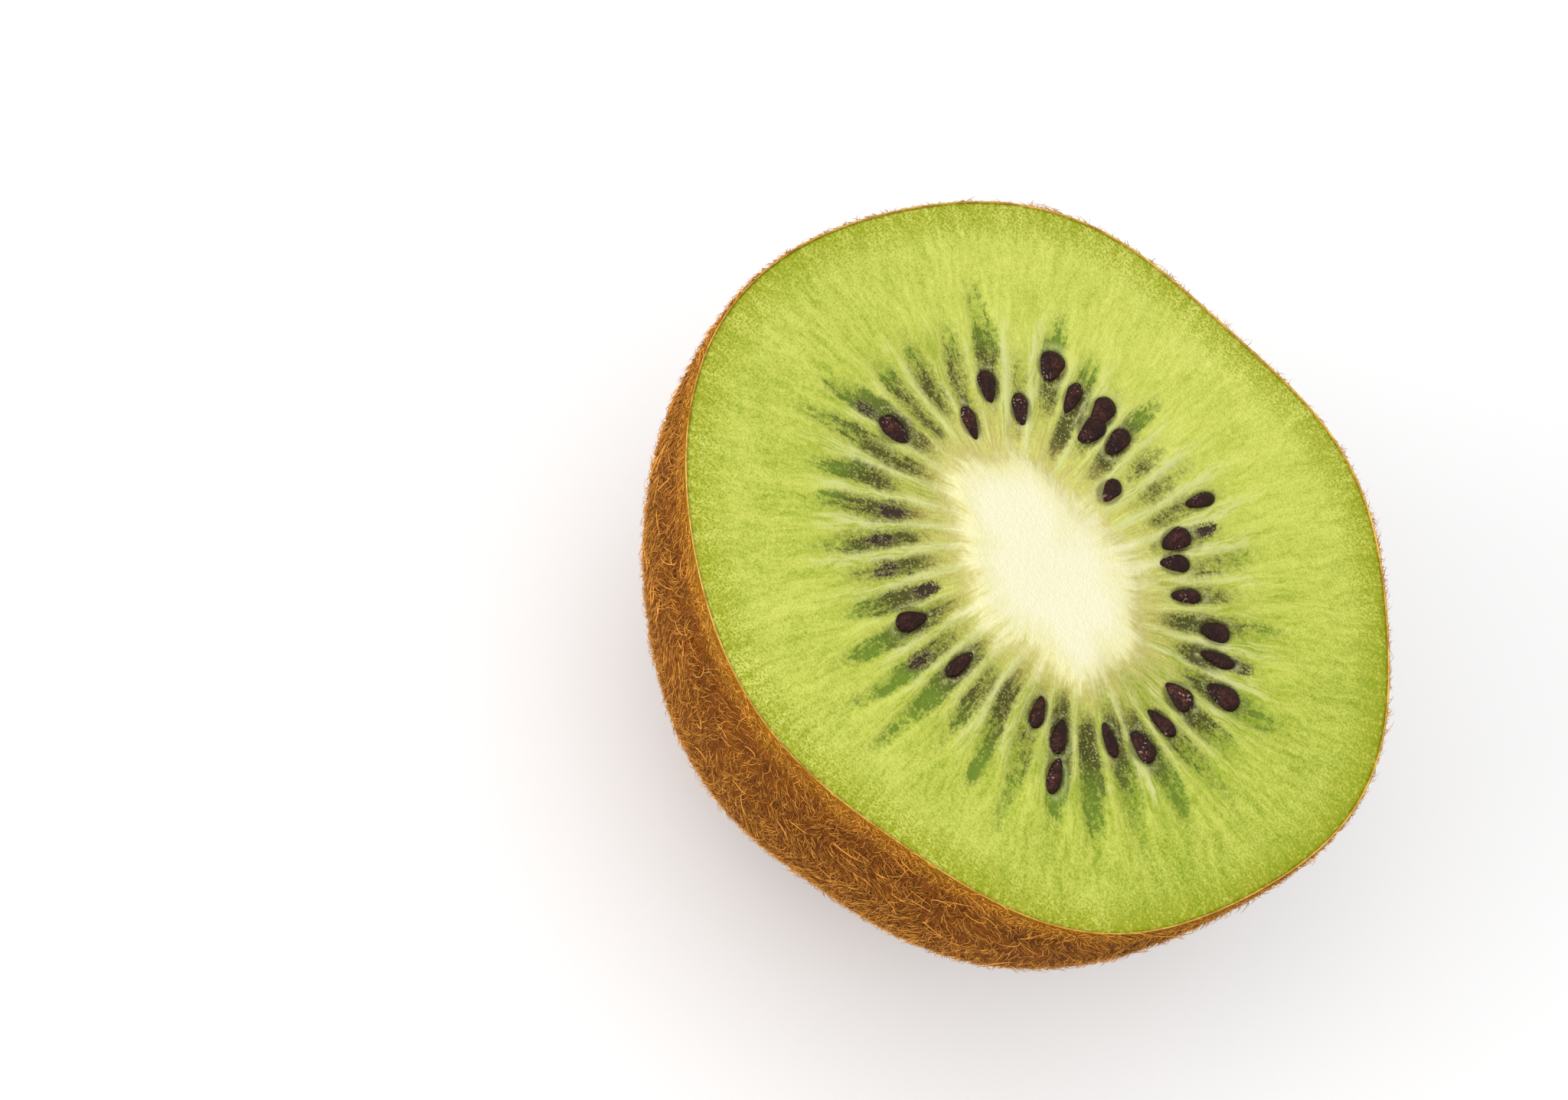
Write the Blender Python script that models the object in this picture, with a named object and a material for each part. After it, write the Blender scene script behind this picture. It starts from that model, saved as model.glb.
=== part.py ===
"""Half a kiwi fruit, cut across its middle, standing on its rounded end with the cut face up.

Skin, flesh, core and seeds are grown together, so the half is one solid with the seeds fused on.
Units are metres with +Z up. The origin is on the ground, under the middle of the fruit.
"""
import math
import random

import bmesh
import bpy
from mathutils import Matrix, Vector

MM = 0.001

# The cut face: a slightly oval outline, as waves (count round the fruit, height, direction in degrees).
FACE_RADIUS = 26.35 * MM
FACE_WAVES = (
    (2, 0.045, -6.0),
    (4, 0.006, -40.0),
    (5, 0.005, -24.0),
    (6, 0.013, 8.0),
    (7, 0.005, 10.0),
)

# The dome under the face: a superellipse from the rim down to the end of the fruit.
DOME_DEPTH = 34.0 * MM
DOME_DEPTH_POWER = 2.2
DOME_RADIUS_POWER = 2.1
DOME_RINGS = 17

# The end: a small flat ring that the half stands on, round a dimple with the scar in it.
FOOT_RADIUS = 6.5 * MM
DIMPLE_RADIUS = 3.9 * MM
DIMPLE_DEPTH = 0.9 * MM
SCAR_RADIUS = 1.7 * MM
SCAR_HEIGHT = 0.5 * MM

# The pale core, an oval in the middle of the face.
CORE_MIDDLE = (0.25 * MM, -0.51 * MM)
CORE_HALF_LENGTH = 9.2 * MM
CORE_HALF_WIDTH = 5.3 * MM
CORE_TURN = math.radians(-15.6)
CORE_RISE = 0.2 * MM
CORE_SHARES = (0.5, 0.85, 1.0)

# The seed chambers, which crowd together towards the sides of the core's long axis.
CHAMBERS = 37
CHAMBER_START = math.radians(-1.7)
CHAMBER_CROWDING = math.radians(3.7)
CHAMBER_CROWDING_TURN = math.radians(34.0)
CHAMBER_DEPTH = 0.25 * MM
FLESH_SHARES = (0.08, 0.17, 0.28, 0.40, 0.54, 0.76, 1.0)
GROOVE_SHARES = (0.17, 0.28, 0.40)
SPOKES = 3 * CHAMBERS

# How far out each chamber's seed shows, in hundredths of the way from core to skin; 0 shows none.
SEED_PLACES = (
    22, 37, 32, 31, 21, 20, 24, 40, 0, 12, 30, 26, 32, 39, 18, 25, 11, 0, 0,
    27, 0, 0, 23, 30, 31, 20, 31, 37, 27, 0, 0, 22, 27, 0, 25, 30, 25,
)
SECOND_SEEDS = {11: 35, 32: 43}
SUNK_CHAMBERS = (22, 23, 24, 25, 27)
SEED_LENGTH = 2.6 * MM
SEED_WIDTH = 1.85 * MM
SEED_THICKNESS = 1.1 * MM
SEED_PROUD = 0.3 * MM
SEED_TAPER = 0.45
SEED_TIP_LIFT = 0.4
# Chambers whose seed is plumper or slimmer than the rest, as a share of the usual width.
SEED_WIDTH_SHARES = {
    0: 1.25, 1: 1.2, 2: 0.8, 3: 1.15, 4: 0.85, 6: 1.1, 7: 0.8, 11: 1.2, 12: 0.85, 13: 1.3,
    14: 0.9, 16: 0.85, 19: 1.25, 28: 0.75, 31: 0.75, 32: 0.8, 34: 0.75, 35: 1.15, 36: 0.8,
}
# Chambers whose seed lies off the chamber's middle, in millimetres anticlockwise.
SEED_SHIFTS = {
    0: 0.2, 3: -0.4, 5: 0.5, 6: 0.2, 10: 0.2, 11: 0.2, 12: 0.3, 14: -0.3, 15: 0.2, 16: 0.45,
    19: 0.4, 26: -0.4, 28: -0.2, 31: 0.2, 34: -0.5, 35: -0.45, 36: -0.2,
}
SEED_SIDES = 8
SEED_RINGS = 6
SEED_DRAW = 7


def empty_scene():
    """Remove every object of the open scene."""
    for item in list(bpy.data.objects):
        bpy.data.objects.remove(item, do_unlink=True)


def finish(name, colour, roughness):
    """Make a Principled material from one colour and one roughness."""
    material = bpy.data.materials.new(name)
    material.use_nodes = True
    shader = material.node_tree.nodes["Principled BSDF"]
    shader.inputs["Base Color"].default_value = (*colour, 1.0)
    shader.inputs["Roughness"].default_value = roughness
    shader.inputs["Metallic"].default_value = 0.0
    return material


def wave(turn):
    """Give the outline's radius at a turn, as a share of the mean radius."""
    return 1.0 + sum(
        height * math.cos(count * (turn - math.radians(direction)))
        for count, height, direction in FACE_WAVES
    )


def rim_point(turn):
    """Give the face's edge at a turn, from the middle of the outline's mean circle."""
    radius = FACE_RADIUS * wave(turn)
    return Vector((radius * math.cos(turn), radius * math.sin(turn)))


def core_point(turn, share):
    """Give a point of the core's oval; share is 0 at its middle and 1 at its edge."""
    along = share * CORE_HALF_LENGTH * math.cos(turn - CORE_TURN)
    across = share * CORE_HALF_WIDTH * math.sin(turn - CORE_TURN)
    return Vector(CORE_MIDDLE) + Matrix.Rotation(CORE_TURN, 2) @ Vector((along, across))


def flesh_point(turn, share):
    """Give a point of the flesh; share is 0 at the core's edge and 1 at the skin."""
    return core_point(turn, 1.0).lerp(rim_point(turn), share)


def chamber_turn(number):
    """Give the turn of a chamber; a fraction is a place between two chambers."""
    even = math.tau * number / CHAMBERS
    crowding = CHAMBER_CROWDING * math.cos(2.0 * (even - CHAMBER_CROWDING_TURN))
    return CHAMBER_START + even + crowding


def face_middle():
    """Give the middle of the outline's box, which is set on the origin."""
    points = [rim_point(chamber_turn(spoke / 3.0)) for spoke in range(SPOKES)]
    low = Vector((min(p.x for p in points), min(p.y for p in points)))
    high = Vector((max(p.x for p in points), max(p.y for p in points)))
    return (low + high) / 2.0


def dome_point(angle):
    """Give the dome's radius share and its depth below the face; angle runs from rim to end."""
    depth = DOME_DEPTH * math.sin(angle) ** (2.0 / DOME_DEPTH_POWER)
    return math.cos(angle) ** (2.0 / DOME_RADIUS_POWER), depth


FOOT_ANGLE = math.acos((FOOT_RADIUS / FACE_RADIUS) ** (DOME_RADIUS_POWER / 2.0))
FACE_HEIGHT = dome_point(FOOT_ANGLE)[1]


def half_profile():
    """List the turned profile as (zone, share, height), from the face's middle to the dimple's."""
    profile = [("core", 0.0, FACE_HEIGHT)]
    profile += [("core", share, FACE_HEIGHT) for share in CORE_SHARES]
    profile += [("flesh", share, FACE_HEIGHT) for share in FLESH_SHARES]
    for ring in range(1, DOME_RINGS):
        share, depth = dome_point(FOOT_ANGLE * ring / DOME_RINGS)
        profile.append(("dome", share, FACE_HEIGHT - depth))
    end = (
        (FOOT_RADIUS, 0.0),
        (DIMPLE_RADIUS, 0.0),
        ((DIMPLE_RADIUS + SCAR_RADIUS) / 2.0, DIMPLE_DEPTH),
        (SCAR_RADIUS, DIMPLE_DEPTH),
        (SCAR_RADIUS * 0.8, DIMPLE_DEPTH - SCAR_HEIGHT),
        (0.0, DIMPLE_DEPTH - SCAR_HEIGHT),
    )
    profile += [("dome", radius / FACE_RADIUS, height) for radius, height in end]
    return profile


def place(zone, share, turn):
    """Give the X and Y of a point of the profile at a turn."""
    if zone == "core":
        return core_point(turn, share)
    if zone == "flesh":
        return flesh_point(turn, share)
    return rim_point(turn) * share


def relief(zone, share, spoke):
    """Give the height that the core stands proud and the chambers lie low."""
    if zone == "core":
        return CORE_RISE
    if zone == "flesh" and share in GROOVE_SHARES and spoke % 3 == 0:
        return -CHAMBER_DEPTH
    return 0.0


def make_half(middle):
    """Turn the profile round the fruit and set every point on the lobed outline."""
    profile = half_profile()
    shape = bmesh.new()
    zone_of = shape.verts.layers.int.new("profile_step")
    start = [shape.verts.new((step, 0.0, row[2])) for step, row in enumerate(profile)]
    for step, vertex in enumerate(start):
        vertex[zone_of] = step
    edges = [shape.edges.new(pair) for pair in zip(start[:-1], start[1:])]
    bmesh.ops.spin(
        shape,
        geom=start + edges,
        axis=(0.0, 0.0, 1.0),
        cent=(-1.0, 0.0, 0.0),
        steps=SPOKES,
        angle=math.tau,
        use_merge=True,
    )
    for vertex in shape.verts:
        zone, share, height = profile[vertex[zone_of]]
        turned = math.atan2(vertex.co.y, vertex.co.x + 1.0) % math.tau
        spoke = round(turned * SPOKES / math.tau) % SPOKES
        spot = place(zone, share, chamber_turn(spoke / 3.0)) - middle
        vertex.co = (spot.x, spot.y, height + relief(zone, share, spoke))
    bmesh.ops.remove_doubles(shape, verts=shape.verts, dist=0.00001)
    bmesh.ops.recalc_face_normals(shape, faces=shape.faces)
    return shape


def make_seed(middle, chamber, share, draw):
    """Make one teardrop seed, its blunt end outwards and its top just proud of the face."""
    turn = chamber_turn(chamber)
    length = SEED_LENGTH * draw.uniform(0.93, 1.07)
    width = SEED_WIDTH * SEED_WIDTH_SHARES.get(chamber, 1.0)
    shape = bmesh.new()
    bmesh.ops.create_uvsphere(shape, u_segments=SEED_SIDES, v_segments=SEED_RINGS, radius=1.0)
    bmesh.ops.rotate(shape, verts=shape.verts, matrix=Matrix.Rotation(math.pi / 2.0, 3, "Y"))
    for vertex in shape.verts:
        slim = 1.0 - SEED_TAPER * (1.0 - vertex.co.x) / 2.0
        vertex.co.y *= slim
        vertex.co.z = vertex.co.z * slim + SEED_TIP_LIFT * max(-vertex.co.x, 0.0) ** 2
    bmesh.ops.scale(shape, verts=shape.verts, vec=(length / 2.0, width / 2.0, SEED_THICKNESS / 2.0))
    outwards = (rim_point(turn) - core_point(turn, 1.0)).normalized()
    sideways = Vector((-outwards.y, outwards.x)) * SEED_SHIFTS.get(chamber, 0.0) * MM
    spot = flesh_point(turn, share) - middle + sideways
    heading = math.atan2(outwards.y, outwards.x) + draw.uniform(-0.2, 0.2)
    height = FACE_HEIGHT + SEED_PROUD - SEED_THICKNESS / 2.0
    stand = Matrix.Translation((spot.x, spot.y, height)) @ Matrix.Rotation(heading, 4, "Z")
    bmesh.ops.transform(shape, matrix=stand, verts=shape.verts)
    return shape


def seed_spots():
    """List the chamber and the share of the way out of every seed that stands proud."""
    spots = [
        (chamber, place_out)
        for chamber, place_out in enumerate(SEED_PLACES)
        if place_out and chamber not in SUNK_CHAMBERS
    ]
    return spots + list(SECOND_SEEDS.items())


def to_object(shape, name, collection, materials):
    """Put a bmesh into a new object of a collection."""
    mesh = bpy.data.meshes.new(name)
    shape.to_mesh(mesh)
    shape.free()
    for material in materials:
        mesh.materials.append(material)
    item = bpy.data.objects.new(name, mesh)
    collection.objects.link(item)
    return item


def paint_zones(shape):
    """Give the faces their material: 0 skin, 1 flesh, 2 core."""
    core_edge = FACE_HEIGHT + CORE_RISE * 0.6
    for face in shape.faces:
        height = face.calc_center_median().z
        if height > core_edge:
            face.material_index = 2
        elif height > FACE_HEIGHT - CHAMBER_DEPTH * 1.1 and abs(face.normal.z) > 0.7:
            face.material_index = 1
        else:
            face.material_index = 0


def join_seeds(half, seeds):
    """Fuse the collection of seeds to the half and remove the loose seeds."""
    union = half.modifiers.new("seeds", "BOOLEAN")
    union.operation = "UNION"
    union.operand_type = "COLLECTION"
    union.collection = seeds
    union.solver = "EXACT"
    union.material_mode = "TRANSFER"
    bpy.context.view_layer.objects.active = half
    bpy.ops.object.modifier_apply(modifier=union.name)
    for seed in list(seeds.objects):
        bpy.data.objects.remove(seed, do_unlink=True)
    bpy.data.collections.remove(seeds)


def main():
    empty_scene()
    fruit = bpy.data.collections.new("kiwi_fruit_half")
    seeds = bpy.data.collections.new("loose_seeds")
    bpy.context.scene.collection.children.link(fruit)
    bpy.context.scene.collection.children.link(seeds)
    skin = finish("skin", (0.27, 0.11, 0.025), 0.85)
    flesh = finish("flesh", (0.50, 0.60, 0.10), 0.35)
    core = finish("core", (0.90, 0.88, 0.60), 0.45)
    seed_coat = finish("seed_coat", (0.03, 0.012, 0.012), 0.25)

    middle = face_middle()
    shape = make_half(middle)
    paint_zones(shape)
    half = to_object(shape, "kiwi_half", fruit, (skin, flesh, core))
    half.data.shade_smooth()
    half.data.set_sharp_from_angle(angle=math.radians(40.0))

    draw = random.Random(SEED_DRAW)
    for number, (chamber, place_out) in enumerate(seed_spots()):
        seed = make_seed(middle, chamber, place_out / 100.0, draw)
        to_object(seed, "seed_%02d" % number, seeds, (seed_coat,))
    join_seeds(half, seeds)


main()
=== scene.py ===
"""Dress the kiwi fruit half: moist cut face, hairy skin, glossy seeds, scar and hairs.

Every piece repeats the named sizes of the fruit and is set on the packed solid's box. Units are
metres with +Z up; the half stands on its rounded end with the cut face level.
"""
import math
import random

import bmesh
import bpy
import numpy as np
from bpy.props import (
    FloatProperty, FloatVectorProperty, IntProperty, PointerProperty,
)
from mathutils import Matrix, Vector, noise


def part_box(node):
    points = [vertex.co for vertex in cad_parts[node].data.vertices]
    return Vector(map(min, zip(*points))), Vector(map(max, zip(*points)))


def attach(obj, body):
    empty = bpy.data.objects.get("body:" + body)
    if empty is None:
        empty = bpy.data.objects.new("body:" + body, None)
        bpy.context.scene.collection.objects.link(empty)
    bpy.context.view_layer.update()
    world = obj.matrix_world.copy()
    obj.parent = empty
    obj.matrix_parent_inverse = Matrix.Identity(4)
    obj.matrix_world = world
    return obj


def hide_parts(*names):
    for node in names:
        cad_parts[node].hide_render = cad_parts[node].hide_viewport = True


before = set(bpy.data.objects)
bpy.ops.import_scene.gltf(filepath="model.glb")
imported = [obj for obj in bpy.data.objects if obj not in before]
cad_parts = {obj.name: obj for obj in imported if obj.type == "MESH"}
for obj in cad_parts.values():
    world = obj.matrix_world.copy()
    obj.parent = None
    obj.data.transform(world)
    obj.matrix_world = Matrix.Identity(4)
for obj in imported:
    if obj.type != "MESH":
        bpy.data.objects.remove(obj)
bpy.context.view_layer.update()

bl_info = {
    "name": "Kiwi Fruit Half",
    "version": (1, 0, 0),
    "blender": (4, 5, 0),
    "location": "View3D > Sidebar > Kiwi",
    "description": "Models a kiwi fruit half with cut face, seeds, hairy skin and a studio stage",
    "category": "Add Mesh",
}

MM = 0.001
NODE = "kiwi_half"
BODY = "root"
FACE_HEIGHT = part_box(NODE)[1].z - 0.3 * MM

# Waves of the outline as (count round the fruit, height, direction in degrees).
FACE_WAVES = (
    (2, 0.045, -6.0),
    (4, 0.006, -40.0),
    (5, 0.005, -24.0),
    (6, 0.013, 8.0),
    (7, 0.005, 10.0),
)
# Bulges of the core's edge as (count round the core, height in millimetres, direction in degrees).
CORE_WAVES = (
    (1, 0.4, -65.0),
    (2, 0.4, 73.0),
    (3, 0.45, 47.0),
    (5, 0.3, 41.0),
    (6, 0.45, 9.0),
    (7, 0.25, 10.0),
    (8, 0.15, 50.0),
)
# How far out each chamber's seed shows, in hundredths of the way from core to skin; 0 shows none.
SEED_PLACES = (
    22, 37, 32, 31, 21, 20, 24, 40, 0, 12, 30, 26, 32, 39, 18, 25, 11, 0, 0,
    27, 0, 0, 23, 30, 31, 20, 31, 37, 27, 0, 0, 22, 27, 0, 25, 30, 25,
)
# Chambers with a second seed, and how far out that one shows.
SECOND_SEEDS = {11: 35, 32: 43}
# Chambers whose seed lies almost under the flesh, and second seeds that lie so too.
SUNK_CHAMBERS = (22, 23, 24, 25, 27)
SUNK_SECONDS = {2: 40, 6: 36, 19: 39}
SUNK_WIDTH_SHARE = 0.7
# Chambers whose seed is plumper or slimmer than the rest, as a share of the usual width.
SEED_WIDTH_SHARES = {
    0: 1.25, 1: 1.2, 2: 0.8, 3: 1.15, 4: 0.85, 6: 1.1, 7: 0.8, 11: 1.2, 12: 0.85, 13: 1.3,
    14: 0.9, 16: 0.85, 19: 1.25, 28: 0.75, 31: 0.75, 32: 0.8, 34: 0.75, 35: 1.15, 36: 0.8,
}
# Chambers whose seed lies off the chamber's middle, in millimetres anticlockwise.
SEED_SHIFTS = {
    0: 0.2, 3: -0.4, 5: 0.5, 6: 0.2, 10: 0.2, 11: 0.2, 12: 0.3, 14: -0.3, 15: 0.2, 16: 0.45,
    19: 0.4, 26: -0.4, 28: -0.2, 31: 0.2, 34: -0.5, 35: -0.45, 36: -0.2,
}


def colour(name, text, red, green, blue):
    """Make a colour property from the 8-bit values that a picture shows."""
    linear = [channel_to_linear(value) for value in (red, green, blue)]
    return FloatVectorProperty(
        name=name, description=text, default=(*linear, 1.0), size=4, min=0.0, max=1.0, subtype="COLOR",
    )


def channel_to_linear(value):
    """Turn an 8-bit display value into a linear one."""
    level = value / 255.0
    return level / 12.92 if level <= 0.04045 else ((level + 0.055) / 1.055) ** 2.4


def length(name, text, millimetres):
    """Make a length property from millimetres."""
    return FloatProperty(
        name=name, description=text, default=millimetres * MM, min=0.0, precision=5,
        subtype="DISTANCE", unit="LENGTH",
    )


def turn(name, text, degrees):
    """Make an angle property from degrees."""
    return FloatProperty(
        name=name, description=text, default=math.radians(degrees), subtype="ANGLE", unit="ROTATION",
    )


def share(name, text, value):
    """Make a plain factor property."""
    return FloatProperty(name=name, description=text, default=value, min=0.0, soft_max=1.0)


def whole(name, text, value, low=0):
    """Make a whole-number property."""
    return IntProperty(name=name, description=text, default=value, min=low)


class KIWI_PG_form(bpy.types.PropertyGroup):
    """Sizes of the fruit, the same as the solid's."""

    face_radius: length("Face radius", "Mean radius of the cut face with its skin", 26.35)
    dome_depth: length("Dome depth", "Depth of the whole dome under the face", 34.0)
    depth_power: share("Depth power", "Superellipse power along the fruit", 2.2)
    radius_power: share("Radius power", "Superellipse power across the fruit", 2.1)
    foot_radius: length("Foot radius", "Outer radius of the ring that the half stands on", 6.5)
    dimple_radius: length("Dimple radius", "Radius of the dimple in the fruit's end", 3.9)
    dimple_depth: length("Dimple depth", "Depth of the dimple in the fruit's end", 0.9)
    scar_radius: length("Scar radius", "Radius of the dry scar in the dimple", 1.7)
    scar_height: length("Scar height", "Height of the scar out of the dimple", 0.5)
    skin_thickness: length("Skin thickness", "Width of the skin's cut edge", 0.12)
    core_x: FloatProperty(name="Core X", description="Middle of the core along X", default=0.25 * MM)
    core_y: FloatProperty(name="Core Y", description="Middle of the core along Y", default=-0.51 * MM)
    core_half_length: length("Core half length", "Half of the core's long axis", 9.2)
    core_half_width: length("Core half width", "Half of the core's short axis", 5.3)
    core_turn: turn("Core turn", "Turn of the core's long axis", -15.6)
    core_rise: length("Core rise", "Height that the core stands proud", 0.2)


class KIWI_PG_chambers(bpy.types.PropertyGroup):
    """The ring of seed chambers round the core."""

    count: whole("Count", "Chambers round the core", 37, low=3)
    start: turn("Start", "Turn of the first chamber", -1.7)
    crowding: turn("Crowding", "How far the chambers crowd towards the core's long sides", 3.7)
    crowding_turn: turn("Crowding turn", "Direction from which they crowd", 34.0)
    depth: length("Depth", "How low the chambers lie", 0.22)
    draw: whole("Draw", "Random draw of the chambers' lengths", 40134)


class KIWI_PG_seeds(bpy.types.PropertyGroup):
    """The seeds in the cut face."""

    seed_length: length("Length", "Length of a seed", 2.6)
    seed_width: length("Width", "Width of a seed", 1.85)
    seed_thickness: length("Thickness", "Thickness of a seed", 1.1)
    proud: length("Proud", "How far a seed stands out of the face", 0.3)
    taper: share("Taper", "How much a seed narrows to its inner end", 0.45)
    tip_lift: share("Tip lift", "How far the inner end bends up, in half thicknesses", 0.4)
    draw: whole("Draw", "Random draw of the seeds' sizes", 7)


class KIWI_PG_colours(bpy.types.PropertyGroup):
    """Colours of the fruit as the eye sees them."""

    core: colour("Core", "Middle of the core", 249, 244, 208)
    core_edge: colour("Core edge", "Feathered edge of the core", 236, 231, 166)
    inner: colour("Inner flesh", "Olive yellow flesh next to the core", 203, 191, 116)
    middle: colour("Middle flesh", "Flesh in the ring of seeds", 190, 191, 92)
    outer: colour("Outer flesh", "Flesh outside the seeds", 197, 206, 86)
    rim: colour("Rim flesh", "Green flesh just inside the skin", 164, 167, 26)
    grain_dark: colour("Dark grain", "Dark grains of the flesh", 136, 160, 24)
    grain_light: colour("Light grain", "Light grains and fibres of the flesh", 226, 231, 116)
    chamber_inner: colour("Chamber inner end", "Shade of a chamber near the core", 150, 134, 66)
    chamber_middle: colour("Chamber middle", "Shade of a chamber among the seeds", 61, 58, 20)
    chamber_outer: colour("Chamber outer end", "Shade of a chamber past the seeds", 102, 130, 32)
    ray: colour("Ray", "Pale wall between two chambers", 215, 218, 146)
    # Painted shade: the dark line round each proud seed.
    painted_seed_shade: colour("Halo", "Shade of the flesh right round a seed", 52, 40, 24)
    sunk: colour("Sunk seed", "Edge of a seed seen through a film of flesh", 112, 104, 72)
    sunk_deep: colour("Sunk seed middle", "Middle of a seed seen through a film of flesh", 52, 34, 28)
    # Painted highlight: pale specks that stand in for wet glints in the chambers.
    painted_glint: colour("Glint", "Tiny wet specks in the chambers", 216, 224, 142)
    seed: colour("Seed", "Dark seed coat", 38, 13, 9)
    # Painted highlight: pale specks that stand in for wet glints on the seeds.
    seed_painted_glint: colour("Seed glint", "Tiny wet specks on the seeds", 214, 184, 166)
    # Red brown of the coat, laid on each seed's top as a painted highlight.
    seed_red_and_highlight: colour("Seed glow", "Red brown of the seed coat", 100, 48, 36)
    skin: colour("Skin", "Skin between the hairs", 96, 48, 3)
    skin_light: colour("Light skin", "Lighter patches of the skin", 148, 82, 8)
    skin_rim: colour("Skin near the rim", "Golden skin just under the cut edge", 162, 106, 18)
    skin_green: colour("Green under the skin", "Green that shows through by the cut edge", 126, 106, 32)
    skin_edge: colour("Skin edge", "Cut edge of the skin", 234, 190, 92)
    hair_dark: colour("Dark hair", "Root of a dark hair", 95, 45, 3)
    hair_light: colour("Light hair", "Tip of a light hair", 252, 176, 78)
    hair_gold: colour("Golden hair", "Tip of a light hair by the cut edge", 254, 181, 70)
    scar: colour("Scar", "Dry end of the fruit", 70, 44, 26)
    scar_light: colour("Light scar", "Frayed edges of the scar", 128, 88, 50)


class KIWI_PG_hairs(bpy.types.PropertyGroup):
    """The hairs of the skin."""

    under_count: whole("Under hairs", "Short hairs next to the skin", 19000)
    middle_count: whole("Middle hairs", "Hairs of middle length", 19000)
    curled_count: whole("Curled hairs", "Lighter, curled hairs", 19000)
    long_count: whole("Long hairs", "Longest, lightest hairs", 15000)
    rim_count: whole("Rim hairs", "Hairs that lie along the cut edge", 9000)
    stray_count: whole("Stray hairs", "Long loose hairs near the rim", 260)
    width: length("Width", "Thickness of a hair at its root", 0.066)
    ceiling: length("Ceiling", "How far the highest hair may rise over the cut face", 0.9)
    draw: whole("Draw", "Random draw of the hairs", 23)


class KIWI_PG_stage(bpy.types.PropertyGroup):
    """Floor, light and camera."""

    floor: colour("Floor", "Pale studio floor", 250, 250, 250)
    floor_size: FloatProperty(
        name="Floor size", description="Side of the floor", default=4.0, unit="LENGTH",
    )
    floor_glow: share("Floor glow", "Light of the lit table top", 0.14)
    sky: FloatProperty(name="Sky", description="Strength of the even white light", default=0.70)
    key: FloatProperty(name="Key", description="Power of the overhead soft box in watts", default=2.4)
    fill: FloatProperty(name="Fill", description="Power of the side soft box in watts", default=3.5)
    lens: FloatProperty(name="Lens", description="Focal length in millimetres", default=100.0)
    view_elevation: turn("View elevation", "Height of the view above the cut face", 59.7)
    view_roll: turn("View roll", "Roll of the camera", 43.3)
    view_distance: FloatProperty(name="View distance", description="Camera to cut face", default=0.299)
    view_right: FloatProperty(
        name="View right", description="Face right of the picture's middle", default=0.01805,
    )
    view_up: FloatProperty(
        name="View up", description="Face above the picture's middle", default=-0.00034,
    )


GROUPS = (
    ("kiwi_form", KIWI_PG_form),
    ("kiwi_chambers", KIWI_PG_chambers),
    ("kiwi_seeds", KIWI_PG_seeds),
    ("kiwi_colours", KIWI_PG_colours),
    ("kiwi_hairs", KIWI_PG_hairs),
    ("kiwi_stage", KIWI_PG_stage),
)


class Fruit:
    """The fruit's form worked out from its named sizes, for arrays of turns and shares."""

    def __init__(self, scene):
        self.form = scene.kiwi_form
        self.chambers = scene.kiwi_chambers
        spokes = 3 * self.chambers.count
        points = self.rim(self.chamber_turn(np.arange(spokes) / 3.0))
        self.middle = (points.min(axis=0) + points.max(axis=0)) / 2.0

    def rim(self, angle):
        """Give points of the outline at an array of turns."""
        angle = np.asarray(angle, float)
        wave = np.ones_like(angle)
        for count, height, direction in FACE_WAVES:
            wave = wave + height * np.cos(count * (angle - math.radians(direction)))
        radius = self.form.face_radius * wave
        return np.stack((radius * np.cos(angle), radius * np.sin(angle)), axis=-1)

    def core(self, angle, part):
        """Give points of the core's oval; part is 0 at its middle and 1 at its edge."""
        form = self.form
        along = part * form.core_half_length * np.cos(angle - form.core_turn)
        across = part * form.core_half_width * np.sin(angle - form.core_turn)
        cosine, sine = math.cos(form.core_turn), math.sin(form.core_turn)
        x = form.core_x + along * cosine - across * sine
        y = form.core_y + along * sine + across * cosine
        return np.stack((x, y), axis=-1)

    def face(self, angle, part):
        """Give points of the cut face: part is -1 in the core's middle, 0 at its edge, 1 at the skin."""
        angle, part = np.broadcast_arrays(np.asarray(angle, float), np.asarray(part, float))
        inside = self.core(angle, 1.0 + np.minimum(part, 0.0))
        edge = self.core(angle, 1.0)
        outside = edge + np.maximum(part, 0.0)[..., None] * (self.rim(angle) - edge)
        return np.where(part[..., None] < 0.0, inside, outside) - self.middle

    def chamber_turn(self, number):
        """Give the turn of a chamber; a fraction is a place between two chambers."""
        even = math.tau * np.asarray(number, float) / self.chambers.count
        crowding = self.chambers.crowding * np.cos(2.0 * (even - self.chambers.crowding_turn))
        return self.chambers.start + even + crowding

    def dome_row(self, angle):
        """Give the dome's share of the outline and its height at an angle from the rim downwards."""
        form = self.form
        depth = form.dome_depth * np.sin(angle) ** (2.0 / form.depth_power)
        return np.cos(angle) ** (2.0 / form.radius_power), FACE_HEIGHT - depth

    def foot_angle(self):
        """Give the angle at which the dome meets the flat ring."""
        form = self.form
        return math.acos((form.foot_radius / form.face_radius) ** (form.radius_power / 2.0))

    def dome(self, angle, part, height):
        """Give points of the dome from turns, shares of the outline and heights."""
        flat = self.rim(angle) * np.asarray(part)[..., None] - self.middle
        return np.concatenate((flat, np.broadcast_to(height, part.shape)[..., None]), axis=-1)


def smooth(low, high, value):
    """Rise smoothly from 0 at low to 1 at high."""
    part = np.clip((value - low) / (high - low), 0.0, 1.0)
    return part * part * (3.0 - 2.0 * part)


def field(points, scale):
    """Read a soft noise at an array of points."""
    values = [noise.noise(Vector(point) * scale) for point in points.reshape(-1, 3)]
    return np.array(values).reshape(points.shape[:-1])


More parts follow.
